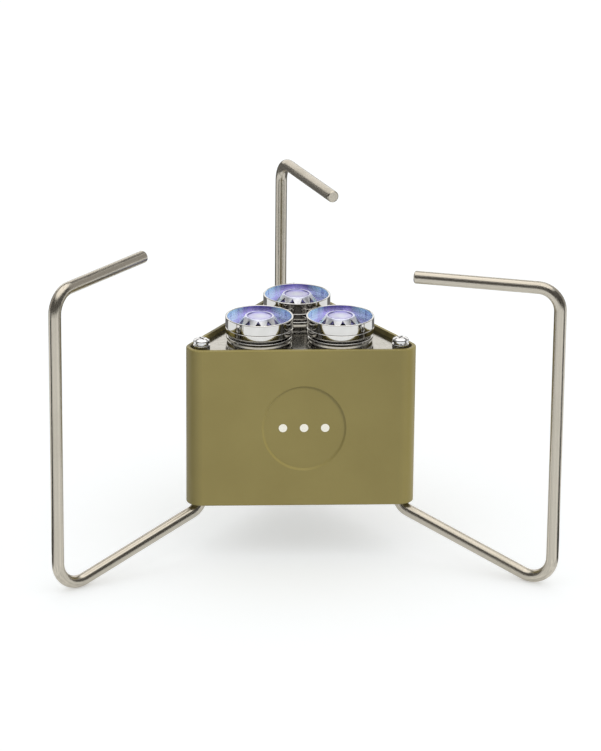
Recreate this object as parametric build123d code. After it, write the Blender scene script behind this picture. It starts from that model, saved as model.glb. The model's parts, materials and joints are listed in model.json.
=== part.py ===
from build123d import *

import os
from math import atan2, cos, pi, radians, sin, tan

# Three-burner camping stove with three swing-out wire legs that also carry the pan.
# Origin: on the body's vertical axis, at the level that the feet stand on.
# +Z is up and -Y is the front. One body face looks along -Y, and the back corner is on +Y.

# ---- casing: an upright triangular tube with round corners ----
CORNER_CIRCLE = 46.0      # radius of the circle through the three leg pivots
CORNER_RADIUS = 6.2       # outer radius of each casing corner, centred on its pivot
BODY_BOTTOM = 22.2        # height of the casing's lower edge above the ground
BODY_HEIGHT = 66.2
WALL = 1.6
RIM_EDGE = 0.5            # rounding of the casing's upper outer edge
LOWER_EDGE = 0.3
PLATE_GAP = 0.1           # play around the deck and the bottom plate
PLATE_THICKNESS = 1.2
DECK_RECESS = 2.0         # the deck lies this far below the casing's rim
BOTTOM_RECESS = 3.0       # the bottom plate lies this far above the casing's lower edge
LEDGE_LENGTH = 50.0
LEDGE_DEPTH = 1.4
LEDGE_HEIGHT = 1.5
EMBLEM_WIDTH = 34.0
EMBLEM_HEIGHT = 36.0
EMBLEM_DEPTH = 0.6
EMBLEM_BEVEL = 0.8        # width of the panel's sloping edge
EMBLEM_SHIFT = 1.2        # sideways place of the round panel on the front face
SEAM_OVERLAP = 0.2        # how far an inner boss or ledge reaches into the wall it is part of

BODY_TOP = BODY_BOTTOM + BODY_HEIGHT
DECK_TOP = BODY_TOP - DECK_RECESS
DECK_UNDER = DECK_TOP - PLATE_THICKNESS
FLOOR_UNDER = BODY_BOTTOM + BOTTOM_RECESS
FLOOR_TOP = FLOOR_UNDER + PLATE_THICKNESS
FACE_DISTANCE = CORNER_CIRCLE / 2 + CORNER_RADIUS
INNER_DISTANCE = FACE_DISTANCE - WALL

CORNERS = {"left": 210.0, "right": 330.0, "back": 90.0}
FACES = {"front": 270.0, "right": 30.0, "left": 150.0}

# ---- bottom plate ----
BOSS_OFFSET = 18.0        # from the middle of each face, along the face
BOSS_WIDTH = 8.0
BOSS_DEPTH = 6.0
BOSS_HEIGHT = 9.0
BOSS_SCREW_DISTANCE = INNER_DISTANCE - BOSS_DEPTH / 2
AIR_HOLE_RADIUS = 1.9
AIR_HOLE_CIRCLE = 8.6
AIR_HOLES = 8

# ---- small screws ----
M3_RADIUS = 1.5
THREAD_PLAY = 0.02
SMALL_HEAD_RADIUS = 2.75
SMALL_HEAD_HEIGHT = 1.8
SMALL_HEAD_ROUND = 0.8
SMALL_SHANK = 8.0
CLEARANCE_HOLE_RADIUS = 1.65
CROSS_WIDTH = 0.75
CROSS_SPAN = 3.4
CROSS_DEPTH = 1.1
CROSS_TAPER = 8.0

# ---- legs: 5 mm wire, one piece from pivot to pan arm ----
WIRE_RADIUS = 2.5
LEG_REACH = 71.4          # plan distance from the pivot to the upright
PIVOT_CROSSING = 19.8     # height where the sloping run's line meets the pivot axis
ARM_HEIGHT = 124.6        # centre height of the pan arms
ARM_LENGTH = 58.3         # from the upright's centre to the arm's tip
ARM_TWIST = 17.5          # the arm's plan angle from the line back to the pivot
PIVOT_BEND = 7.0
FOOT_BEND = 10.0
ARM_BEND = 9.0
TIP_CHAMFER = 0.45
OPEN_ANGLES = {"left": 6.2, "right": -4.1, "back": 2.1}

# ---- leg pivots ----
RUNNING_PLAY = 0.05
SLEEVE_RADIUS = 4.1
SPIGOT_RADIUS = 3.4
PIVOT_THREAD_DEPTH = 14.0
PIVOT_SHANK = 12.5
WASHER_RADIUS = 3.4
WASHER_THICKNESS = 0.8
SPRING_WASHER_RADIUS = 2.85
SPRING_WASHER_THICKNESS = 0.7
SPRING_SLOT = 0.5
SPRING_SLOT_PLACE = -60.0
SPRING_SLOT_SLANT = 25.0
WASHER_EDGE = 0.15
WASHER_BORE = 1.6
PAN_HEAD_RADIUS = 3.3
PAN_HEAD_HEIGHT = 1.9
PAN_HEAD_SIDE = 1.2       # height of the pan head's upright side
PAN_HEAD_FLAT = 0.6       # its flat top, as a part of its radius
SCREW_LEAD = 0.4

# ---- burners: heights are measured from the deck ----
BURNER_CIRCLE = 18.8      # radius of the circle through the three burners
BASE_RADIUS = 13.4
BASE_HEIGHT = 2.3
BASE_DISH = 0.5
BASE_BEAD = 1.3           # width of the rolled edge
STEM_RADIUS = 6.0
STEM_PLAY = 0.05
STEM_BORE = 4.5
STEM_LENGTH = 12.0
NECK_RADIUS = 9.5
CUP_RADIUS = 13.75
CUP_WALL = 0.8
CUP_FLOOR = 5.6
CUP_UNDERSIDE = 3.3       # lowest point of the flange's edge, before its rounding
FLANGE_RISE = 0.9         # the flange's underside rises this much from the neck to the edge
CUP_TOP = 10.2
GROOVE_HEIGHT = 5.9
GROOVE_DEPTH = 0.2
CAP_SEAT_DEPTH = 0.5
CAP_RING_RADIUS = 9.0
CAP_DISC_RADIUS = 5.8
CAP_TOP = 10.3
CAP_WALL = 1.0
CAP_SKIRT = 0.3           # the cone starts this far above the cup's floor
CAP_RIM_WIDTH = 1.0       # raised edge of the disc
CAP_DISH = 0.3
PORTS = 10
PORT_HALF_WIDTH = 1.45
PORT_SILL = 0.9           # heights of a port's corners above the cup's floor
PORT_SHOULDER = 2.2
PORT_CROWN = 0.5          # solid rim left above each port's point
LOCKNUT_FLATS = 16.0
LOCKNUT_HEIGHT = 3.0

# ---- gas path ----
MANIFOLD_AXIS = 36.4      # height of the drilled gallery
MANIFOLD_HALF = 4.0
HUB_RADIUS = 7.5
BOSS_RADIUS = 6.0
ARM_WIDTH = 8.0
GALLERY_RADIUS = 1.5
PLUG_RADIUS = 2.2
PLUG_LENGTH = 3.0
MANIFOLD_SCREW_OFFSET = 4.6
JET_THREAD_RADIUS = 2.5
JET_THREAD_LENGTH = 5.0
JET_FLATS = 9.0
JET_HEX_HEIGHT = 3.5
JET_SPIGOT_RADIUS = 4.0
JET_SPIGOT_HEIGHT = 3.0
JET_NOSE_HEIGHT = 2.5
JET_BORE = 1.0
JET_ORIFICE = 0.3
JET_NOSE_RADII = (1.8, 1.2)
JET_TIP_WALL = 0.8
TUBE_RADIUS = 5.5
TUBE_THROAT = 2.8
TUBE_COLLAR_RADIUS = 7.2
TUBE_AIR_HOLE = 1.8
TUBE_NUT_GAP = 0.8        # between the tube's collar and the burner's locknut
AIR_HOLE_RISE = 2.0       # air holes above the jet's tip
THROAT_RISE = 8.0         # throat above the air holes
TUBE_SHOULDER = 1.5
TUBE_TAPER = 4.0

# ---- gas inlet, on the rear right face ----
INLET_ANGLE = FACES["right"]
INLET_ARM_END = 21.0
INLET_SPIGOT_RADIUS = 2.5
INLET_SPIGOT_LENGTH = 6.0
INLET_THREAD_RADIUS = 5.0
INLET_FLATS = 14.0
INLET_HEX_LENGTH = 3.5
INLET_NIPPLE_LENGTH = 9.5
INLET_LEAD = 0.8
SEAL_RADIUS = 7.2
SEAL_THICKNESS = 1.0
INLET_NUT_LENGTH = 3.0


def polar(radius, angle, height=0.0):
    """Point at a plan radius and angle from the origin."""
    return Vector(radius * cos(radians(angle)), radius * sin(radians(angle)), height)


def turned(*corners):
    """Solid turned about Z from (radius, height) or (radius, height, rounding) corners."""
    points = [(corner[0], 0, corner[1]) for corner in corners]
    rounding = [corner[2] if len(corner) == 3 else 0 for corner in corners]
    outline = FilletPolyline(*points, radius=rounding, close=True)
    return revolve(make_face(outline), Axis.Z)


def tube(radius, bottom, top, bore=0.0):
    """Upright cylinder, hollow where a bore is given."""
    return turned((bore, bottom), (radius, bottom), (radius, top), (bore, top))


def hex_prism(flats, bottom, top):
    """Upright hexagon with its corners eased like a turned nut's."""
    body = extrude(Pos(0, 0, bottom) * RegularPolygon(flats / 2, 6, major_radius=False), top - bottom)
    corner = flats / 2 / cos(pi / 6)
    ease = (corner - flats / 2) * 0.6
    easing = turned(
        (0, bottom),
        (corner - ease, bottom),
        (corner, bottom + ease / 2),
        (corner, top - ease / 2),
        (corner - ease, top),
        (0, top),
    )
    return body & easing


def casing_prism(inset, bottom, top):
    """Round-cornered triangular prism, inset from the casing's outer face."""
    outline = RegularPolygon(FACE_DISTANCE - inset, 3, major_radius=False, rotation=90)
    outline = fillet(outline.vertices(), CORNER_RADIUS - inset)
    return extrude(Pos(0, 0, bottom) * outline, top - bottom)


def on_face(face, distance, along, height=0.0):
    """Place on a casing face: +X outward, +Y along the face."""
    place = polar(distance, FACES[face]) + polar(along, FACES[face] + 90)
    return Pos(place.X, place.Y, height) * Rot(0, 0, FACES[face])


def at_corner(corner, height=0.0):
    """Place on a leg's pivot axis, +X pointing out of the corner."""
    return Pos(*polar(CORNER_CIRCLE, CORNERS[corner], height)) * Rot(0, 0, CORNERS[corner])


def at_burner(corner, height=0.0):
    """Place on a burner's axis, +X pointing out of the corner beside it."""
    return Pos(*polar(BURNER_CIRCLE, CORNERS[corner], height)) * Rot(0, 0, CORNERS[corner])


def along_inlet(solid):
    """Lay an upright solid along the inlet, its heights becoming distances from the origin."""
    return Pos(0, 0, MANIFOLD_AXIS) * Rot(0, 0, INLET_ANGLE) * Rot(0, 90, 0) * solid


def cross_recess(top):
    """Cross-shaped driver recess, narrowing downwards."""
    slot = Pos(0, 0, top) * Rectangle(CROSS_SPAN, CROSS_WIDTH)
    other = Pos(0, 0, top) * Rectangle(CROSS_WIDTH, CROSS_SPAN)
    return extrude(slot, -CROSS_DEPTH, taper=CROSS_TAPER) + extrude(other, -CROSS_DEPTH, taper=CROSS_TAPER)


def body_shell():
    shell = casing_prism(0, BODY_BOTTOM, BODY_TOP)
    shell = fillet(shell.faces().sort_by(Axis.Z)[-1].edges(), RIM_EDGE)
    shell = chamfer(shell.faces().sort_by(Axis.Z)[0].edges(), LOWER_EDGE)
    shell -= casing_prism(WALL, BODY_BOTTOM - 1, BODY_TOP + 1)
    for face in FACES:
        for bottom in (FLOOR_TOP, DECK_UNDER - LEDGE_HEIGHT):
            ledge = Box(LEDGE_DEPTH + SEAM_OVERLAP, LEDGE_LENGTH, LEDGE_HEIGHT)
            middle = INNER_DISTANCE - LEDGE_DEPTH / 2 + SEAM_OVERLAP / 2
            shell += on_face(face, middle, 0, bottom + LEDGE_HEIGHT / 2) * ledge
        boss = Box(BOSS_DEPTH + SEAM_OVERLAP, BOSS_WIDTH, BOSS_HEIGHT)
        middle = INNER_DISTANCE - BOSS_DEPTH / 2 + SEAM_OVERLAP / 2
        shell += on_face(face, middle, BOSS_OFFSET, FLOOR_TOP + BOSS_HEIGHT / 2) * boss
        thread = tube(M3_RADIUS + THREAD_PLAY, FLOOR_TOP - 1, FLOOR_TOP + SMALL_SHANK)
        shell -= on_face(face, BOSS_SCREW_DISTANCE, BOSS_OFFSET) * thread
    middle = (BODY_BOTTOM + BODY_TOP) / 2
    shell -= Pos(EMBLEM_SHIFT, -FACE_DISTANCE, middle) * Rot(90, 0, 0) * emblem_panel()
    shell -= along_inlet(tube(INLET_THREAD_RADIUS + STEM_PLAY, INNER_DISTANCE - 5, FACE_DISTANCE + 5))
    return shell


def emblem_panel():
    """Shallow round recess with a sloping edge, its mouth at height 0 and its floor below."""
    sections = []
    for side in (-1, 1):
        across = EMBLEM_WIDTH / 2 + side * EMBLEM_BEVEL
        upward = EMBLEM_HEIGHT / 2 + side * EMBLEM_BEVEL
        sections.append(Pos(0, 0, side * EMBLEM_DEPTH) * Ellipse(across, upward))
    return loft(sections)


def deck_plate():
    plate = casing_prism(WALL + PLATE_GAP, DECK_UNDER, DECK_TOP)
    for corner in CORNERS:
        plate -= at_burner(corner) * tube(STEM_RADIUS + STEM_PLAY, DECK_UNDER - 1, DECK_TOP + 1)
        plate -= at_corner(corner) * tube(SPIGOT_RADIUS + THREAD_PLAY, DECK_UNDER - 1, DECK_TOP + 1)
    return plate


def bottom_plate():
    plate = casing_prism(WALL + PLATE_GAP, FLOOR_UNDER, FLOOR_TOP)
    below, above = FLOOR_UNDER - 1, FLOOR_TOP + 1
    for corner in CORNERS:
        plate -= at_corner(corner) * tube(SPIGOT_RADIUS + THREAD_PLAY, below, above)
        for index in range(AIR_HOLES):
            hole = Pos(AIR_HOLE_CIRCLE, 0, 0) * tube(AIR_HOLE_RADIUS, below, above)
            plate -= at_burner(corner) * Rot(0, 0, (index + 0.5) * 360 / AIR_HOLES) * hole
    for face in FACES:
        plate -= on_face(face, BOSS_SCREW_DISTANCE, BOSS_OFFSET) * tube(CLEARANCE_HOLE_RADIUS, below, above)
    for side in (-1, 1):
        plate -= Pos(side * MANIFOLD_SCREW_OFFSET, 0, 0) * tube(CLEARANCE_HOLE_RADIUS, below, above)
    return plate


def small_screw():
    """Pan-head screw pointing up, its head under the bottom plate."""
    low = FLOOR_UNDER - SMALL_HEAD_HEIGHT
    screw = turned(
        (0, low),
        (SMALL_HEAD_RADIUS, low, SMALL_HEAD_ROUND),
        (SMALL_HEAD_RADIUS, FLOOR_UNDER),
        (M3_RADIUS, FLOOR_UNDER),
        (M3_RADIUS, FLOOR_TOP + SMALL_SHANK - 1),
        (0, FLOOR_TOP + SMALL_SHANK - 1),
    )
    return screw - Pos(0, 0, low) * Rot(180, 0, 0) * cross_recess(0)


def pivot_sleeve():
    bore = WIRE_RADIUS + RUNNING_PLAY
    return turned(
        (bore, FLOOR_UNDER),
        (SPIGOT_RADIUS, FLOOR_UNDER),
        (SPIGOT_RADIUS, FLOOR_TOP),
        (SLEEVE_RADIUS, FLOOR_TOP),
        (SLEEVE_RADIUS, DECK_UNDER),
        (SPIGOT_RADIUS, DECK_UNDER),
        (SPIGOT_RADIUS, BODY_TOP),
        (bore, BODY_TOP),
    )


def leg_wire(corner):
    """One bent wire: pivot, sloping run, foot, upright and pan arm."""
    pivot = polar(CORNER_CIRCLE, CORNERS[corner])
    outward = CORNERS[corner] + OPEN_ANGLES[corner]
    foot = pivot + polar(LEG_REACH, outward)
    tip = foot + polar(ARM_LENGTH, outward + 180 + ARM_TWIST)
    path = FilletPolyline(
        pivot + Vector(0, 0, BODY_TOP),
        pivot + Vector(0, 0, PIVOT_CROSSING),
        foot + Vector(0, 0, foot_line_height()),
        foot + Vector(0, 0, ARM_HEIGHT),
        tip + Vector(0, 0, ARM_HEIGHT),
        radius=[PIVOT_BEND, FOOT_BEND, ARM_BEND],
    )
    section = Plane(origin=pivot + Vector(0, 0, BODY_TOP), z_dir=(0, 0, -1)) * Circle(WIRE_RADIUS)
    wire = sweep(section, path=path)
    end = wire.faces().sort_by_distance(tip + Vector(0, 0, ARM_HEIGHT))[0]
    wire = chamfer(end.edges(), TIP_CHAMFER)
    thread = tube(M3_RADIUS + THREAD_PLAY, BODY_TOP - PIVOT_THREAD_DEPTH, BODY_TOP + 1)
    return wire - Pos(pivot.X, pivot.Y, 0) * thread


def foot_line_height():
    """Height where the slope's line meets the upright's, so that the foot's bend touches the ground."""
    height = 0.0
    for _ in range(20):
        slope = atan2(PIVOT_CROSSING - height, LEG_REACH)
        tangent = FOOT_BEND * tan((pi / 2 + slope) / 2)
        height = WIRE_RADIUS + FOOT_BEND - tangent
    return height


def flat_washer():
    low = BODY_TOP
    high = low + WASHER_THICKNESS
    return turned(
        (WASHER_BORE, low),
        (WASHER_RADIUS, low, WASHER_EDGE),
        (WASHER_RADIUS, high, WASHER_EDGE),
        (WASHER_BORE, high),
    )


def spring_washer():
    low = BODY_TOP + WASHER_THICKNESS
    high = low + SPRING_WASHER_THICKNESS
    ring = tube(SPRING_WASHER_RADIUS, low, high, WASHER_BORE)
    place = Rot(0, 0, SPRING_SLOT_PLACE) * Pos(SPRING_WASHER_RADIUS, 0, (low + high) / 2)
    slot = Box(2 * SPRING_WASHER_RADIUS, SPRING_SLOT, 4 * SPRING_WASHER_THICKNESS)
    return ring - place * Rot(SPRING_SLOT_SLANT, 0, 0) * slot


def pivot_screw():
    seat = BODY_TOP + WASHER_THICKNESS + SPRING_WASHER_THICKNESS
    top = seat + PAN_HEAD_HEIGHT
    screw = turned(
        (0, seat - PIVOT_SHANK),
        (M3_RADIUS - SCREW_LEAD, seat - PIVOT_SHANK),
        (M3_RADIUS, seat - PIVOT_SHANK + SCREW_LEAD),
        (M3_RADIUS, seat),
        (PAN_HEAD_RADIUS, seat, 0.15),
        (PAN_HEAD_RADIUS, seat + PAN_HEAD_SIDE, 0.7),
        (PAN_HEAD_RADIUS * PAN_HEAD_FLAT, top, 0.8),
        (0, top),
    )
    return screw - cross_recess(top)


def burner_base():
    """Round dish on the deck with a rolled edge, clamped under the burner cup."""
    hole = STEM_RADIUS + STEM_PLAY
    top = DECK_TOP + BASE_HEIGHT
    dish = top - BASE_DISH
    return turned(
        (hole, DECK_TOP),
        (BASE_RADIUS - 0.5, DECK_TOP, 0.3),
        (BASE_RADIUS, DECK_TOP + 1.2, 0.5),
        (BASE_RADIUS, top, 0.6),
        (BASE_RADIUS - BASE_BEAD, top, 0.4),
        (BASE_RADIUS - BASE_BEAD - 0.3, dish),
        (hole, dish),
    )


def burner_stem():
    """Turned middle of a burner: hollow threaded stem, neck, and the flange that is the cup's floor."""
    seat = BASE_HEIGHT - BASE_DISH
    stem = turned(
        (STEM_BORE, -STEM_LENGTH),
        (STEM_RADIUS, -STEM_LENGTH, 0.4),
        (STEM_RADIUS, seat),
        (NECK_RADIUS, seat),
        (NECK_RADIUS, CUP_UNDERSIDE - FLANGE_RISE, 0.4),
        (CUP_RADIUS, CUP_UNDERSIDE, 0.8),
        (CUP_RADIUS, CUP_FLOOR),
        (CAP_RING_RADIUS + THREAD_PLAY, CUP_FLOOR),
        (CAP_RING_RADIUS + THREAD_PLAY, CUP_FLOOR - CAP_SEAT_DEPTH),
        (STEM_BORE, CUP_FLOOR - CAP_SEAT_DEPTH),
    )
    return Pos(0, 0, DECK_TOP) * stem


def burner_cup():
    """Polished ring that stands on the flange's edge as the cup's wall, with a fine groove round its foot."""
    inner = CUP_RADIUS - CUP_WALL
    cup = turned(
        (inner, CUP_FLOOR),
        (CUP_RADIUS, CUP_FLOOR),
        (CUP_RADIUS, GROOVE_HEIGHT - GROOVE_DEPTH),
        (CUP_RADIUS - GROOVE_DEPTH, GROOVE_HEIGHT),
        (CUP_RADIUS, GROOVE_HEIGHT + GROOVE_DEPTH),
        (CUP_RADIUS, CUP_TOP, 0.3),
        (inner, CUP_TOP, 0.3),
    )
    return Pos(0, 0, DECK_TOP) * cup


def burner_cap():
    """Hollow crown: a flat disc on a cone with a ring of pointed flame ports."""
    low = CUP_FLOOR - CAP_SEAT_DEPTH
    inner = CAP_RING_RADIUS - CAP_WALL
    cap = turned(
        (0, CAP_TOP - CAP_WALL),
        (CAP_DISC_RADIUS - CAP_WALL, CAP_TOP - CAP_WALL, 0.4),
        (inner, CUP_FLOOR + CAP_SKIRT),
        (inner, low),
        (CAP_RING_RADIUS, low),
        (CAP_RING_RADIUS, CUP_FLOOR + CAP_SKIRT, 0.2),
        (CAP_DISC_RADIUS, CAP_TOP, 0.4),
        (CAP_DISC_RADIUS - CAP_RIM_WIDTH, CAP_TOP, 0.2),
        (CAP_DISC_RADIUS - CAP_RIM_WIDTH - CAP_DISH, CAP_TOP - CAP_DISH),
        (0, CAP_TOP - CAP_DISH),
    )
    outline = Polyline(
        (-PORT_HALF_WIDTH, CUP_FLOOR + PORT_SILL),
        (PORT_HALF_WIDTH, CUP_FLOOR + PORT_SILL),
        (PORT_HALF_WIDTH, CUP_FLOOR + PORT_SHOULDER),
        (0, CAP_TOP - PORT_CROWN),
        (-PORT_HALF_WIDTH, CUP_FLOOR + PORT_SHOULDER),
        close=True,
    )
    port = extrude(Plane.YZ.offset(STEM_BORE) * make_face(outline), CAP_RING_RADIUS)
    for index in range(PORTS):
        cap -= Rot(0, 0, (index + 0.5) * 360 / PORTS) * port
    return Pos(0, 0, DECK_TOP) * cap


def burner_locknut():
    nut = hex_prism(LOCKNUT_FLATS, DECK_UNDER - LOCKNUT_HEIGHT, DECK_UNDER)
    return nut - tube(STEM_RADIUS + THREAD_PLAY, DECK_UNDER - LOCKNUT_HEIGHT - 1, DECK_UNDER + 1)


def mixing_tube():
    """Venturi tube: air and gas enter low down, and the mixture rises into the burner's stem."""
    top = DECK_UNDER - LOCKNUT_HEIGHT - TUBE_NUT_GAP
    stem_end = DECK_TOP - STEM_LENGTH
    bottom = jet_seat()
    air = bottom + JET_SPIGOT_HEIGHT + JET_NOSE_HEIGHT + AIR_HOLE_RISE
    socket = STEM_RADIUS + THREAD_PLAY
    spigot = JET_SPIGOT_RADIUS + THREAD_PLAY
    body = turned(
        (socket, top),
        (TUBE_COLLAR_RADIUS, top, 0.3),
        (TUBE_COLLAR_RADIUS, stem_end - TUBE_SHOULDER, 0.3),
        (TUBE_RADIUS, stem_end - TUBE_TAPER, 0.5),
        (TUBE_RADIUS, bottom),
        (spigot, bottom),
        (spigot, air + 2.5),
        (TUBE_THROAT, air + THROAT_RISE, 1.5),
        (STEM_BORE, stem_end),
        (socket, stem_end),
    )
    hole = Pos(0, 0, air) * Rot(0, 90, 0) * Cylinder(TUBE_AIR_HOLE, 4 * TUBE_RADIUS)
    return body - hole - Rot(0, 0, 90) * hole


def jet_seat():
    """Height of the shoulder that the mixing tube stands on."""
    return MANIFOLD_AXIS + MANIFOLD_HALF + JET_HEX_HEIGHT


def gas_jet():
    base = MANIFOLD_AXIS + MANIFOLD_HALF
    seat = jet_seat()
    nose = seat + JET_SPIGOT_HEIGHT
    tip = nose + JET_NOSE_HEIGHT
    jet = hex_prism(JET_FLATS, base, seat)
    jet += tube(JET_THREAD_RADIUS, base - JET_THREAD_LENGTH, base)
    foot, end = JET_NOSE_RADII
    spigot = [(0, seat), (JET_SPIGOT_RADIUS, seat), (JET_SPIGOT_RADIUS, nose)]
    jet += turned(*spigot, (foot, nose), (end, tip), (0, tip))
    jet -= tube(JET_BORE, base - JET_THREAD_LENGTH - 1, tip - JET_TIP_WALL)
    return jet - tube(JET_ORIFICE, tip - 1, tip + 1)


def gas_manifold():
    """Hub on the bottom plate with a drilled arm to each burner and one to the inlet."""
    top = MANIFOLD_AXIS + MANIFOLD_HALF
    low = MANIFOLD_AXIS - MANIFOLD_HALF
    block = tube(HUB_RADIUS, FLOOR_TOP, top)
    outer = BURNER_CIRCLE + BOSS_RADIUS
    gallery = Rot(0, 90, 0) * tube(GALLERY_RADIUS, 0, outer)
    plug_bore = Rot(0, 90, 0) * tube(PLUG_RADIUS, outer - PLUG_LENGTH, 2 * BURNER_CIRCLE)
    for angle in CORNERS.values():
        arm = Pos(BURNER_CIRCLE / 2, 0, MANIFOLD_AXIS) * Box(BURNER_CIRCLE, ARM_WIDTH, 2 * MANIFOLD_HALF)
        block += Rot(0, 0, angle) * arm
        block += Rot(0, 0, angle) * Pos(BURNER_CIRCLE, 0, 0) * tube(BOSS_RADIUS, low, top)
    block += along_inlet(tube(MANIFOLD_HALF, 0, INLET_ARM_END))
    for angle in CORNERS.values():
        block -= Pos(0, 0, MANIFOLD_AXIS) * Rot(0, 0, angle) * (gallery + plug_bore)
        thread = tube(JET_THREAD_RADIUS + THREAD_PLAY, top - JET_THREAD_LENGTH, top + 1)
        block -= Rot(0, 0, angle) * Pos(BURNER_CIRCLE, 0, 0) * thread
    block -= along_inlet(tube(GALLERY_RADIUS, 0, INLET_ARM_END + 1))
    socket = INLET_ARM_END - INLET_SPIGOT_LENGTH
    block -= along_inlet(tube(INLET_SPIGOT_RADIUS + THREAD_PLAY, socket, INLET_ARM_END + 1))
    for side in (-1, 1):
        thread = tube(M3_RADIUS + THREAD_PLAY, FLOOR_TOP - 1, FLOOR_TOP + SMALL_SHANK)
        block -= Pos(side * MANIFOLD_SCREW_OFFSET, 0, 0) * thread
    return block


def manifold_plugs():
    outer = BURNER_CIRCLE + BOSS_RADIUS
    plug = Rot(0, 90, 0) * tube(PLUG_RADIUS - THREAD_PLAY, outer - PLUG_LENGTH, outer - 0.2)
    return [Pos(0, 0, MANIFOLD_AXIS) * Rot(0, 0, angle) * plug for angle in CORNERS.values()]


def inlet_fitting():
    """Threaded nipple through the casing wall, screwed into the manifold."""
    flange = FACE_DISTANCE + SEAL_THICKNESS
    nipple = flange + INLET_HEX_LENGTH
    end = nipple + INLET_NIPPLE_LENGTH
    fitting = turned(
        (0, INLET_ARM_END - INLET_SPIGOT_LENGTH),
        (INLET_SPIGOT_RADIUS, INLET_ARM_END - INLET_SPIGOT_LENGTH),
        (INLET_SPIGOT_RADIUS, INLET_ARM_END),
        (INLET_THREAD_RADIUS, INLET_ARM_END),
        (INLET_THREAD_RADIUS, end - INLET_LEAD),
        (INLET_THREAD_RADIUS - INLET_LEAD, end),
        (0, end),
    )
    fitting += hex_prism(INLET_FLATS, flange, nipple)
    return along_inlet(fitting - tube(GALLERY_RADIUS, 0, end + 1))


def inlet_seal():
    bore = INLET_THREAD_RADIUS + STEM_PLAY
    return along_inlet(tube(SEAL_RADIUS, FACE_DISTANCE, FACE_DISTANCE + SEAL_THICKNESS, bore))


def inlet_locknut():
    nut = hex_prism(INLET_FLATS, INNER_DISTANCE - INLET_NUT_LENGTH, INNER_DISTANCE)
    return along_inlet(nut - tube(INLET_THREAD_RADIUS + THREAD_PLAY, 0, 2 * INNER_DISTANCE))


def save(name, solids):
    """Write one sub-part, keeping a group of identical fasteners as separate solids."""
    shape = Compound(children=solids) if isinstance(solids, list) else solids
    shape.label = name
    export_step(shape, f"parts/{name}.step")


def main():
    os.makedirs("parts", exist_ok=True)
    save("body_shell", body_shell())
    save("deck_plate", deck_plate())
    save("bottom_plate", bottom_plate())
    screw = small_screw()
    save("bottom_plate_screws", [on_face(face, BOSS_SCREW_DISTANCE, BOSS_OFFSET) * screw for face in FACES])
    save("manifold_screws", [Pos(side * MANIFOLD_SCREW_OFFSET, 0, 0) * screw for side in (-1, 1)])
    save("gas_manifold", gas_manifold())
    save("manifold_plugs", manifold_plugs())
    save("inlet_fitting", inlet_fitting())
    save("inlet_seal", inlet_seal())
    save("inlet_locknut", inlet_locknut())
    for corner in CORNERS:
        save(f"pivot_sleeve_{corner}", at_corner(corner) * pivot_sleeve())
        save(f"leg_wire_{corner}", leg_wire(corner))
        save(f"flat_washer_{corner}", at_corner(corner) * flat_washer())
        save(f"spring_washer_{corner}", at_corner(corner) * spring_washer())
        save(f"pivot_screw_{corner}", at_corner(corner) * pivot_screw())
        save(f"burner_base_{corner}", at_burner(corner) * burner_base())
        save(f"burner_stem_{corner}", at_burner(corner) * burner_stem())
        save(f"burner_cup_{corner}", at_burner(corner) * burner_cup())
        save(f"burner_cap_{corner}", at_burner(corner) * burner_cap())
        save(f"burner_locknut_{corner}", at_burner(corner) * burner_locknut())
        save(f"mixing_tube_{corner}", at_burner(corner) * mixing_tube())
        save(f"gas_jet_{corner}", at_burner(corner) * gas_jet())


main()
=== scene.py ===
import json
import math

import bmesh
import bpy
from mathutils import Matrix, Vector


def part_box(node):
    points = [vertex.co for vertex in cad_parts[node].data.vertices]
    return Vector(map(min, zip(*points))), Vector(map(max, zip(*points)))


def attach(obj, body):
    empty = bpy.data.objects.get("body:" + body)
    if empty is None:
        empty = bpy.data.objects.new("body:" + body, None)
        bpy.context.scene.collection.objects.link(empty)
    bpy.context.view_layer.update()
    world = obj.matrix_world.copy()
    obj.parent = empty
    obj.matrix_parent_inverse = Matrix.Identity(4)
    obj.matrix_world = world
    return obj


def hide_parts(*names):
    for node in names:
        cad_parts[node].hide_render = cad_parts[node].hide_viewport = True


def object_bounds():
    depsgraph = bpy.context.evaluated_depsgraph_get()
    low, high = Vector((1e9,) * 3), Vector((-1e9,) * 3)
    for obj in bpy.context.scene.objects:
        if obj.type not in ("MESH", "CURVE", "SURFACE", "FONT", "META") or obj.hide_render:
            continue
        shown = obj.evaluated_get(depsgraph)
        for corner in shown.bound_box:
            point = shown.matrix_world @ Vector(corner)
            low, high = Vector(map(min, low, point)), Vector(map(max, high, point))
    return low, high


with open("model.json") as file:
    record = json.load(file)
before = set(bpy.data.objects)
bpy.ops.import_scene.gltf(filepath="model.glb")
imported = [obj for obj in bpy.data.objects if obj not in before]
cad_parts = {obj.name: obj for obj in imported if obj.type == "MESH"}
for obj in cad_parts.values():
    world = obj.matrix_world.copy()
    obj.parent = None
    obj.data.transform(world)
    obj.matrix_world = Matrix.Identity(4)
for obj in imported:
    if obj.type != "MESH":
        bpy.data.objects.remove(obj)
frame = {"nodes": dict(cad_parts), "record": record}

# A three-burner camping stove on swing-out wire legs. Everything is in metres, in the CAD's frame.
CAD_LOW, CAD_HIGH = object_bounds()
CORNERS = ("left", "right", "back")
MM = 0.001
NOISE_SPREAD = (0.3, 0.7)    # nearly all of a noise texture's values lie between these


def middle(node):
    low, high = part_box(node)
    return (low + high) / 2


# ---------------------------------------------------------------- shader building

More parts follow.
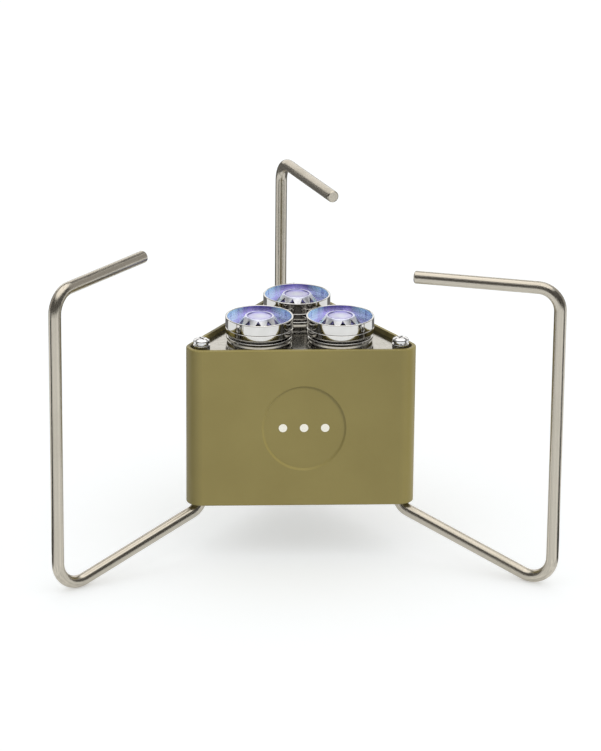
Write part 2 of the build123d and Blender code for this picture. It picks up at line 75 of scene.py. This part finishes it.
class Shader:
    """A Principled material, with short calls for the nodes that feed it.

    A value is a number, an (r, g, b) colour, or another node's output.
    """

    def __init__(self, name, metallic=1.0):
        self.material = bpy.data.materials.new(name)
        self.material.use_nodes = True
        self.tree = self.material.node_tree
        self.surface = self.tree.nodes["Principled BSDF"]
        self.set("Metallic", metallic)
        place = self.tree.nodes.new("ShaderNodeTexCoord")
        self.place = place.outputs["Object"]
        self.normal = place.outputs["Normal"]

    def wire(self, value, socket):
        if isinstance(value, bpy.types.NodeSocket):
            self.tree.links.new(value, socket)
        elif socket.type == "RGBA":
            socket.default_value = (*value, 1.0)
        else:
            socket.default_value = value

    def set(self, name, value):
        self.wire(value, self.surface.inputs[name])

    def math(self, operation, a, b=0.0):
        node = self.tree.nodes.new("ShaderNodeMath")
        node.operation = operation
        self.wire(a, node.inputs[0])
        self.wire(b, node.inputs[1])
        return node.outputs[0]

    def add(self, a, b):
        return self.math("ADD", a, b)

    def times(self, a, b):
        return self.math("MULTIPLY", a, b)

    def sway(self, noise, reach):
        """The noise moved to lie evenly about 0, and stretched."""
        return self.times(self.math("SUBTRACT", noise, 0.5), reach)

    def vector(self, operation, a, b):
        node = self.tree.nodes.new("ShaderNodeVectorMath")
        node.operation = operation
        self.wire(a, node.inputs[0])
        self.wire(b, node.inputs[1])
        return node.outputs["Value" if operation == "DISTANCE" else "Vector"]

    def axis(self, vector, which):
        node = self.tree.nodes.new("ShaderNodeSeparateXYZ")
        self.wire(vector, node.inputs[0])
        return node.outputs[which]

    def noise(self, vector, frequency, detail=3.0, rough=0.5):
        """Noise with so many grains to a unit, the same along every axis or given for each."""
        if not isinstance(frequency, tuple):
            frequency = (frequency, frequency, frequency)
        node = self.tree.nodes.new("ShaderNodeTexNoise")
        self.wire(self.vector("MULTIPLY", vector, frequency), node.inputs["Vector"])
        node.inputs["Scale"].default_value = 1.0
        node.inputs["Detail"].default_value = detail
        node.inputs["Roughness"].default_value = rough
        return node.outputs["Fac"]

    def span(self, value, low, high, out_low=0.0, out_high=1.0):
        """The value's stretch from low to high, carried over to another stretch and held at its ends."""
        node = self.tree.nodes.new("ShaderNodeMapRange")
        node.clamp = True
        for socket, number in zip(node.inputs[:5], (value, low, high, out_low, out_high)):
            self.wire(number, socket)
        return node.outputs[0]

    def follow(self, noise, low, high):
        """A number that follows a noise from low to high."""
        return self.span(noise, *NOISE_SPREAD, low, high)

    def blend(self, factor, a, b):
        """Colour a where the factor is 0, and colour b where it is 1."""
        node = self.tree.nodes.new("ShaderNodeMix")
        node.data_type = "RGBA"
        first, second = [socket for socket in node.inputs if socket.type == "RGBA"]
        self.wire(factor, node.inputs[0])
        self.wire(a, first)
        self.wire(b, second)
        return next(socket for socket in node.outputs if socket.type == "RGBA")

    def tones(self, noise, dark, light):
        """Colour that follows a noise from dark to light."""
        return self.blend(self.span(noise, *NOISE_SPREAD), dark, light)

    def spots(self, colour, noise, edge, strength, spot):
        """Colour with spots of another, which fade in over the edge, a stretch of the noise."""
        return self.blend(self.span(noise, *edge, 0.0, strength), colour, spot)

    def bump(self, height, distance):
        node = self.tree.nodes.new("ShaderNodeBump")
        node.inputs["Strength"].default_value = 1.0
        node.inputs["Distance"].default_value = distance
        self.wire(height, node.inputs["Height"])
        self.set("Normal", node.outputs["Normal"])


def burner_radius(shader):
    """Plan distance from the nearest burner's axis, in metres."""
    flat = shader.vector("MULTIPLY", shader.place, (1.0, 1.0, 0.0))
    nearest = None
    for corner in CORNERS:
        centre = middle(f"burner_cap_{corner}")
        away = shader.vector("DISTANCE", flat, (centre.x, centre.y, 0.0))
        nearest = away if nearest is None else shader.math("MINIMUM", nearest, away)
    return nearest


# ---------------------------------------------------------------- materials, one function per slot

def olive_paint():
    """Satin khaki: faint clouds, fine pale specks and a slight orange peel."""
    s = Shader("olive_paint", metallic=0.0)
    cloud = s.noise(s.place, 35.0, detail=4.0)
    grain = s.noise(s.place, 2600.0, detail=2.0)
    peel = s.noise(s.place, 700.0, detail=1.0)
    khaki = s.tones(cloud, (0.156, 0.126, 0.036), (0.171, 0.140, 0.042))
    s.set("Base Color", s.spots(khaki, grain, (0.62, 0.74), 0.25, (0.20, 0.165, 0.055)))
    s.set("Specular IOR Level", 0.35)
    s.set("Roughness", s.follow(grain, 0.38, 0.5))
    s.set("Coat Weight", 0.05)
    s.set("Coat Roughness", 0.25)
    s.bump(s.add(s.times(peel, 0.7), s.times(grain, 0.3)), 0.04 * MM)
    return s.material


def stainless_wire():
    """Drawn wire: lines along it, because they follow the normal, with dull patches and nicks."""
    s = Shader("stainless_wire")
    drawn = s.noise(s.normal, 7.0, rough=0.6)
    fine = s.noise(s.normal, 30.0, detail=2.0, rough=0.6)
    patch = s.noise(s.place, (70.0, 70.0, 45.0), detail=4.0)
    nick = s.noise(s.place, (1100.0, 1100.0, 500.0), detail=2.0)
    lines = s.add(s.times(drawn, 0.6), s.times(fine, 0.4))
    steel = s.blend(s.span(lines, 0.36, 0.62), (0.38, 0.35, 0.295), (0.64, 0.59, 0.505))
    s.set("Base Color", s.spots(steel, patch, (0.45, 0.75), 0.3, (0.45, 0.42, 0.335)))
    s.set("Roughness", s.span(s.add(lines, patch), 0.75, 1.25, 0.16, 0.30))
    s.bump(s.add(lines, s.times(nick, 0.3)), 0.04 * MM)
    return s.material


def stainless_plate():
    """Sheet brushed along X, with fine dust and broad stains."""
    s = Shader("stainless_plate")
    brushed = s.noise(s.place, (60.0, 2600.0, 60.0), detail=4.0, rough=0.6)
    stain = s.noise(s.place, 110.0, detail=4.0)
    dust = s.noise(s.place, 900.0, rough=0.7)
    steel = s.tones(brushed, (0.37, 0.36, 0.325), (0.52, 0.505, 0.46))
    dusty = s.spots(steel, dust, (0.5, 0.72), 0.55, (0.26, 0.25, 0.22))
    s.set("Base Color", s.spots(dusty, stain, (0.5, 0.8), 0.3, (0.34, 0.33, 0.30)))
    s.set("Roughness", s.span(s.add(brushed, stain), 0.7, 1.3, 0.07, 0.18))
    s.bump(brushed, 0.015 * MM)
    return s.material


def polished_steel():
    """Mirror finish outside; inside the cups a satin tint, part heat tint and part painted light: the
    flames' blue glow, cyan at the sides and violet between, lighter low down and darker up the wall, with
    dark navy lines that are painted reflections of the crown's edge.
    """
    s = Shader("polished_steel")
    inset = 0.75 * MM    # a little less than the cups' wall, whose inner face is tinted
    height = s.axis(s.place, 2)
    inner = middle("burner_cup_left").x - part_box("burner_cup_left")[0].x - inset
    floor_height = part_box("burner_cap_left")[0].z
    above = s.span(height, floor_height - 0.3 * MM, floor_height)
    inside = s.times(s.math("LESS_THAN", burner_radius(s), inner), above)
    heat = s.noise(s.place, 260.0)
    streak = s.noise(s.normal, (6.0, 6.0, 1.0), detail=4.0, rough=0.65)
    painted_reflection_band = s.noise(s.place, (0.0, 0.0, 1500.0), detail=2.0)
    # The cup's inner colour is partly painted light: cyan where the wall faces sideways, violet between,
    # lighter near the floor and darker higher up, standing in for the flames' blue glow.
    sideways = s.math("ABSOLUTE", s.axis(s.normal, 0))
    side = s.span(s.add(sideways, s.sway(streak, 0.7)), 0.38, 0.72)
    low_tint_and_glow = s.blend(side, (0.58, 0.52, 0.90), (0.70, 0.92, 0.96))
    high_tint_and_glow = s.blend(side, (0.13, 0.11, 0.40), (0.46, 0.76, 0.84))
    level = s.add(height, s.sway(heat, 1.2 * MM))
    up_the_wall = s.span(level, floor_height + 2.2 * MM, floor_height + 4.6 * MM)
    tint_and_glow = s.blend(up_the_wall, low_tint_and_glow, high_tint_and_glow)
    # Dark navy lines: painted reflections of the crown's edge on the inner wall.
    tint_and_glow = s.spots(tint_and_glow, s.add(streak, s.sway(painted_reflection_band, 0.8)), (0.57, 0.64), 0.7, (0.10, 0.10, 0.30))
    clean = s.blend(s.span(heat, 0.35, 0.7), (0.66, 0.65, 0.63), (0.72, 0.71, 0.69))
    s.set("Base Color", s.blend(inside, clean, tint_and_glow))
    s.set("Metallic", s.span(inside, 0.0, 1.0, 1.0, 0.7))
    rings = s.noise(s.place, (0.0, 0.0, 9000.0), detail=2.0)
    gloss = s.span(s.add(rings, heat), 0.7, 1.3, 0.04, 0.10)
    s.set("Roughness", s.add(gloss, s.times(inside, 0.2)))
    s.bump(rings, 0.0015 * MM)
    return s.material


def tinted_steel():
    """The crown of a burner: pale steel, its top disc lavender, part heat tint and part the painted blue
    glow of the flames, with a violet edge.
    """
    s = Shader("tinted_steel")
    disc = 4.9 * MM
    radius = burner_radius(s)
    heat = s.noise(s.place, 420.0)
    reach = s.add(radius, s.sway(heat, 1.2 * MM))
    # Lavender disc: heat tint mixed with painted flame glow.
    centre = s.blend(s.span(reach, 0.5 * MM, disc), (0.70, 0.73, 0.84), (0.54, 0.52, 0.84))
    ring = s.blend(s.span(radius, disc - 0.5 * MM, disc - 0.1 * MM), centre, (0.08, 0.07, 0.34))
    slope = s.blend(s.span(radius, disc, disc + 0.4 * MM), ring, (0.74, 0.77, 0.94))
    skirt = s.span(radius, disc + 0.9 * MM, disc + 1.6 * MM)
    s.set("Base Color", s.blend(skirt, slope, (0.90, 0.91, 0.94)))
    s.set("Roughness", s.follow(heat, 0.28, 0.42))
    s.bump(heat, 0.03 * MM)
    return s.material


def zinc_steel():
    """Bright plating with a fine mottle."""
    s = Shader("zinc_steel")
    mottled = s.noise(s.place, 1300.0)
    s.set("Base Color", s.blend(s.span(mottled, 0.35, 0.65), (0.66, 0.66, 0.67), (0.82, 0.82, 0.82)))
    s.set("Roughness", s.follow(mottled, 0.08, 0.18))
    s.bump(mottled, 0.02 * MM)
    return s.material


def bare_steel():
    """Turned steel, with fine rings one above another."""
    s = Shader("bare_steel")
    turned = s.noise(s.place, (40.0, 40.0, 5200.0))
    s.set("Base Color", s.tones(turned, (0.44, 0.43, 0.41), (0.58, 0.57, 0.55)))
    s.set("Roughness", s.follow(turned, 0.26, 0.4))
    s.bump(turned, 0.015 * MM)
    return s.material


def cast_alloy():
    """Aluminium with a fine cast grain."""
    s = Shader("cast_alloy")
    grain = s.noise(s.place, 1500.0, detail=5.0)
    s.set("Base Color", s.tones(grain, (0.54, 0.55, 0.56), (0.68, 0.69, 0.70)))
    s.set("Roughness", s.follow(grain, 0.4, 0.6))
    s.bump(grain, 0.08 * MM)
    return s.material


def brass():
    """Machined brass with darker stains."""
    s = Shader("brass")
    grain = s.noise(s.place, 3200.0)
    stain = s.noise(s.place, 180.0, detail=4.0)
    s.set("Base Color", s.blend(s.span(stain, 0.4, 0.7), (0.76, 0.58, 0.28), (0.62, 0.43, 0.18)))
    s.set("Roughness", s.span(s.add(grain, stain), 0.7, 1.3, 0.16, 0.34))
    s.bump(grain, 0.012 * MM)
    return s.material


def rubber():
    """Matt black, finely grained."""
    s = Shader("rubber", metallic=0.0)
    grain = s.noise(s.place, 2600.0)
    s.set("Base Color", s.blend(grain, (0.018, 0.018, 0.019), (0.04, 0.04, 0.042)))
    s.set("Roughness", s.follow(grain, 0.55, 0.75))
    s.bump(grain, 0.03 * MM)
    return s.material


def white_print():
    """Off-white ink with a grain that lets a little of the paint through."""
    s = Shader("white_print", metallic=0.0)
    grain = s.noise(s.place, 3600.0)
    s.set("Base Color", s.blend(s.span(grain, 0.35, 0.7), (0.62, 0.60, 0.54), (0.50, 0.48, 0.40)))
    s.set("Roughness", s.follow(grain, 0.45, 0.6))
    s.bump(grain, 0.01 * MM)
    return s.material


FINISHES = {
    "olive_paint": olive_paint(),
    "stainless_wire": stainless_wire(),
    "stainless_plate": stainless_plate(),
    "polished_steel": polished_steel(),
    "tinted_steel": tinted_steel(),
    "zinc_steel": zinc_steel(),
    "bare_steel": bare_steel(),
    "cast_alloy": cast_alloy(),
    "brass": brass(),
    "rubber": rubber(),
}


def paint_cad_nodes():
    for part in frame["record"]["subparts"]:
        node = frame["nodes"][part["node"]]
        for slot in node.material_slots:
            slot.material = FINISHES[part["material_slot"]]


# ---------------------------------------------------------------- pieces made here

def piece(name, mesh, body, material):
    thing = bpy.data.objects.new(name, mesh)
    bpy.context.scene.collection.objects.link(thing)
    mesh.materials.append(material)
    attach(thing, body)
    return thing


def front_mark():
    """Three printed dots, one for each burner, in the round panel on the front face."""
    low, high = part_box("body_shell")
    panel_depth = 0.6 * MM
    panel_shift = 1.2 * MM
    dot_radius = 1.7 * MM
    dot_sides = 48
    spacing = 8.5 * MM
    film = 0.05 * MM
    panel_y = low.y + panel_depth
    panel_z = (low.z + high.z) / 2
    mesh = bpy.data.meshes.new("front_mark")
    shape = bmesh.new()
    for step in (-1, 0, 1):
        centre = Vector((panel_shift + step * spacing, panel_y - film / 2, panel_z))
        bmesh.ops.create_cone(
            shape, cap_ends=True, segments=dot_sides, radius1=dot_radius, radius2=dot_radius, depth=film,
            matrix=Matrix.Translation(centre) @ Matrix.Rotation(math.pi / 2, 4, "X"),
        )
    shape.to_mesh(mesh)
    shape.free()
    piece("front_mark", mesh, "stove_body", white_print())


def inlet_nipple():
    """Gas inlet with its M10 x 1 thread, a hexagon to hold it by and the gas way through it.

    It is made along Z about the middle of its outer thread, and then turned to the mount's axis.
    """
    mount = next(m for m in frame["record"]["mounts"] if m["name"] == "gas_inlet")
    crest = mount["dims"]["r_mm"] * MM
    half = mount["dims"]["length_mm"] * MM / 2
    pitch = 1.0 * MM
    depth = 0.6 * MM
    lead = 0.8 * MM
    least_depth = 0.25
    bore = 1.5 * MM
    spigot = 2.5 * MM
    start, shoulder = -23.05 * MM, -17.05 * MM
    hex_length, hex_flats = 3.5 * MM, 14.0 * MM
    hex_edge, hex_edge_steps = 0.35 * MM, 3
    sharp = math.radians(35)
    columns, rows_per_turn = 72, 10
    tip = half + lead

    def thread(along, turn):
        """Radius of the thread: shallow at both ends, and chamfered at the tip."""
        cut = abs(((along / pitch - turn) % 1.0) * 2 - 1)
        ends = min(1.0, (along - shoulder) / lead, (tip - along) / lead)
        return crest - depth * cut * min(1.0, max(least_depth, ends)) - max(0.0, along - half)

    outline = [(start, bore), (start, spigot), (shoulder, spigot)]
    rows = round((tip - shoulder) / pitch * rows_per_turn)
    outline += [(shoulder + (tip - shoulder) * row / rows, None) for row in range(rows + 1)]
    outline.append((tip, bore))
    shape = bmesh.new()
    rings = []
    for along, radius in outline:
        ring = []
        for column in range(columns):
            turn = column / columns
            reach = thread(along, turn) if radius is None else radius
            angle = 2 * math.pi * turn
            ring.append(shape.verts.new((reach * math.cos(angle), reach * math.sin(angle), along)))
        rings.append(ring)
    for ring, following in zip(rings, rings[1:] + rings[:1]):
        for column in range(columns):
            beside = (column + 1) % columns
            shape.faces.new((ring[column], ring[beside], following[beside], following[column]))
    hex_radius = hex_flats / math.sqrt(3)
    hexagon = bmesh.ops.create_cone(
        shape, cap_ends=True, segments=6, radius1=hex_radius, radius2=hex_radius, depth=hex_length,
        matrix=Matrix.Translation((0.0, 0.0, -half - hex_length / 2)),
    )
    edges = {edge for vertex in hexagon["verts"] for edge in vertex.link_edges}
    bmesh.ops.bevel(shape, geom=list(edges), offset=hex_edge, segments=hex_edge_steps, affect="EDGES")
    bmesh.ops.recalc_face_normals(shape, faces=shape.faces)
    turn_to_axis = Vector(mount["axis"]).to_track_quat("Z", "Y").to_matrix().to_4x4()
    shape.transform(Matrix.Translation(mount["pos_m"]) @ turn_to_axis)
    mesh = bpy.data.meshes.new("inlet_nipple")
    shape.to_mesh(mesh)
    shape.free()
    mesh.shade_smooth()
    mesh.set_sharp_from_angle(angle=sharp)
    nipple = piece("inlet_nipple", mesh, "stove_body", FINISHES["brass"])
    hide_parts("inlet_fitting")


# ---------------------------------------------------------------- stage, light and camera

def staged(name, points, faces, shader):
    """A mesh that isn't part of the stove."""
    mesh = bpy.data.meshes.new(name)
    mesh.from_pydata(points, [], faces)
    mesh.materials.append(shader.material)
    thing = bpy.data.objects.new(name, mesh)
    bpy.context.scene.collection.objects.link(thing)
    return thing


def floor():
    """White table, lit a little from within so that shadows on it stay faint."""
    side = 12.0
    corners = [(-side, -side, 0), (side, -side, 0), (side, side, 0), (-side, side, 0)]
    s = Shader("floor", metallic=0.0)
    paper = s.noise(s.place, 9.0)
    s.set("Base Color", s.blend(paper, (0.89, 0.90, 0.895), (0.91, 0.92, 0.915)))
    s.set("Roughness", 0.9)
    s.set("Specular IOR Level", 0.1)
    s.set("Emission Color", (1.0, 1.0, 1.0))
    s.set("Emission Strength", 0.3)
    return staged("floor", corners, [(0, 1, 2, 3)], s)


def card(name, turn, near, far, glow):
    """Sheet round the stove that shows only in reflections.

    It runs between two compass angles (0 is the front, positive to the right), from one
    (radius, height) to another, and shines with an even grey.
    """
    start, end = turn
    degrees_a_step = 3
    front = -90
    steps = round((end - start) / degrees_a_step)
    points = []
    for step in range(steps + 1):
        angle = math.radians(start + (end - start) * step / steps + front)
        for radius, height in (near, far):
            points.append((radius * math.cos(angle), radius * math.sin(angle), height))
    faces = [(2 * i, 2 * i + 2, 2 * i + 3, 2 * i + 1) for i in range(steps)]
    s = Shader(name, metallic=0.0)
    s.set("Base Color", (0.0, 0.0, 0.0))
    s.set("Roughness", 1.0)
    s.set("Specular IOR Level", 0.0)
    s.set("Emission Color", (1.0, 0.98, 0.95))
    s.set("Emission Strength", glow)
    sheet = staged(name, points, faces, s)
    sheet.visible_camera = False
    sheet.visible_diffuse = False
    sheet.visible_shadow = False
    sheet.visible_transmission = False


def area_light(name, place, aim, side, power, table):
    """Square lamp that lights the stove but not the table, and doesn't show in reflections."""
    data = bpy.data.lights.new(name, "AREA")
    data.size = side
    data.energy = power
    lamp = bpy.data.objects.new(name, data)
    lamp.location = place
    lamp.rotation_euler = (Vector(aim) - Vector(place)).to_track_quat("-Z", "Y").to_euler()
    lamp.visible_glossy = False
    unlit = bpy.data.collections.new(f"{name}_unlit")
    unlit.objects.link(table)
    unlit.collection_objects[0].light_linking.link_state = "EXCLUDE"
    lamp.light_linking.receiver_collection = unlit
    bpy.context.scene.collection.objects.link(lamp)


def studio(table):
    """A key from the upper right, a faint fill, and sheets that give the metal dark and light stripes."""
    world = bpy.data.worlds.new("studio")
    bpy.context.scene.world = world
    world.use_nodes = True
    background = world.node_tree.nodes["Background"]
    background.inputs["Color"].default_value = (0.97, 0.985, 1.0, 1.0)
    background.inputs["Strength"].default_value = 0.85
    centre = (CAD_LOW + CAD_HIGH) / 2
    area_light("key", (1.0, -0.7, 1.2), centre, 0.5, 34.0, table)
    area_light("fill", (-0.9, -0.9, 0.6), centre, 0.8, 3.0, table)
    wall, panel, ceiling, table_top = 1.3, 1.28, 1.5, 0.4 * MM
    card("ceiling", (-180, 180), (0.02, ceiling), (1.05, ceiling), 1.65)
    card("curtain", (-180, 180), (wall, 0.0), (wall, ceiling), 0.12)
    card("back_panel", (140, 220), (panel, 0.16), (panel, 0.95), 1.25)
    card("right_panel", (92, 132), (panel, 0.02), (panel, 1.4), 0.5)
    card("left_panel", (-128, -100), (panel, 0.02), (panel, 1.4), 0.6)
    card("back_table", (128, 232), (0.15, table_top), (wall, table_top), 0.18)
    card("right_table", (62, 82), (0.13, table_top), (wall, table_top), 0.06)
    card("left_table", (-82, -62), (0.13, table_top), (wall, table_top), 0.06)


def camera():
    """Long lens, a little above the stove, turned slightly to its right."""
    yaw = math.radians(2.711)
    elevation = math.radians(19.469)
    roll = math.radians(0.529)
    distance = 1.5548
    aim = Vector((0.92 * MM, 0.0, 67.59 * MM))
    forward = Vector((0.0, math.cos(elevation), -math.sin(elevation)))
    right = Vector((1.0, 0.0, 0.0))
    above = right.cross(forward)
    place = aim - forward * distance
    tilted_right = math.cos(roll) * right + math.sin(roll) * above
    tilted_above = math.cos(roll) * above - math.sin(roll) * right
    turn = Matrix((tilted_right, tilted_above, -forward)).transposed().to_4x4()
    data = bpy.data.cameras.new("camera")
    data.lens = 182.82
    data.sensor_width = 36.0
    data.clip_start = 0.05
    data.clip_end = 50.0
    eye = bpy.data.objects.new("camera", data)
    eye.matrix_world = Matrix.Rotation(-yaw, 4, "Z") @ Matrix.Translation(place) @ turn
    bpy.context.scene.collection.objects.link(eye)
    bpy.context.scene.camera = eye


bpy.context.scene.view_settings.view_transform = "Standard"
camera()
studio(floor())
paint_cad_nodes()
front_mark()
inlet_nipple()
